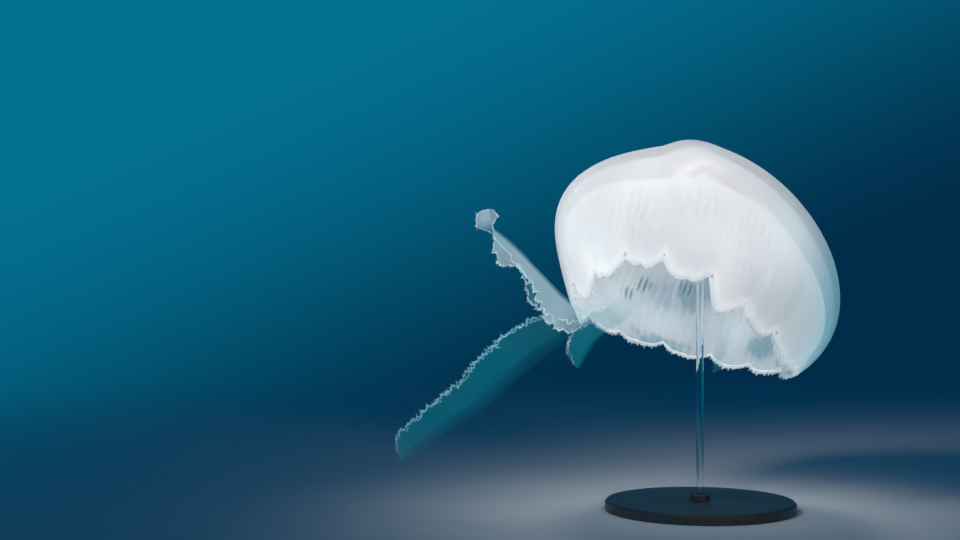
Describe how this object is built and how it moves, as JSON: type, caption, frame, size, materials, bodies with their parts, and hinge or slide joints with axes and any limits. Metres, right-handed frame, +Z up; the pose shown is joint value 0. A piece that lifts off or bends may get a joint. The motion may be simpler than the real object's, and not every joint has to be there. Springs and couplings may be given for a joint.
{
  "type": "moon jellyfish",
  "caption": "Life-size moon jellyfish in mid-pulse, its scalloped bell fringed with short tentacles and its frilled oral arms trailing, on a display stand.",
  "frame": {"origin": "centre of the display stand's underside", "axes": "+Z up; +X towards the leading side of the bell, so that the oral arms trail towards -X; the front is -Y"},
  "size_m": [0.3503, 0.2361, 0.2968],
  "materials": {
    "jelly": "clear, milky, wet jelly",
    "lining": "milk-white, faintly pleated",
    "tentacle": "white, fine and soft",
    "gonad": "white with a faint pink tint, folded",
    "arm": "clear jelly leaf with white frilled lips",
    "stand": "satin charcoal",
    "rod": "clear polished acrylic"
  },
  "bodies": {
    "root": {"bell_crown": "jelly", "bell_lobe_1": "jelly", "bell_lobe_2": "jelly", "bell_lobe_3": "jelly", "bell_lobe_4": "jelly", "bell_lobe_5": "jelly", "bell_lobe_6": "jelly", "bell_lobe_7": "jelly", "bell_lobe_8": "jelly", "subumbrella": "lining", "manubrium": "lining", "gonad_1": "gonad", "gonad_2": "gonad", "gonad_3": "gonad", "gonad_4": "gonad", "tentacles_1": "tentacle", "tentacles_2": "tentacle", "tentacles_3": "tentacle", "tentacles_4": "tentacle", "tentacles_5": "tentacle", "tentacles_6": "tentacle", "tentacles_7": "tentacle", "tentacles_8": "tentacle", "arm_upper_base": "arm", "arm_upper_middle": "arm", "arm_upper_tip": "arm", "arm_lower_base": "arm", "arm_lower_middle": "arm", "arm_lower_tip": "arm", "arm_back_base": "arm", "arm_back_tip": "arm", "arm_leading_base": "arm", "arm_leading_tip": "arm", "stand_base": "stand", "stand_collar": "stand", "stand_rod": "rod"}
  },
  "joints": []
}
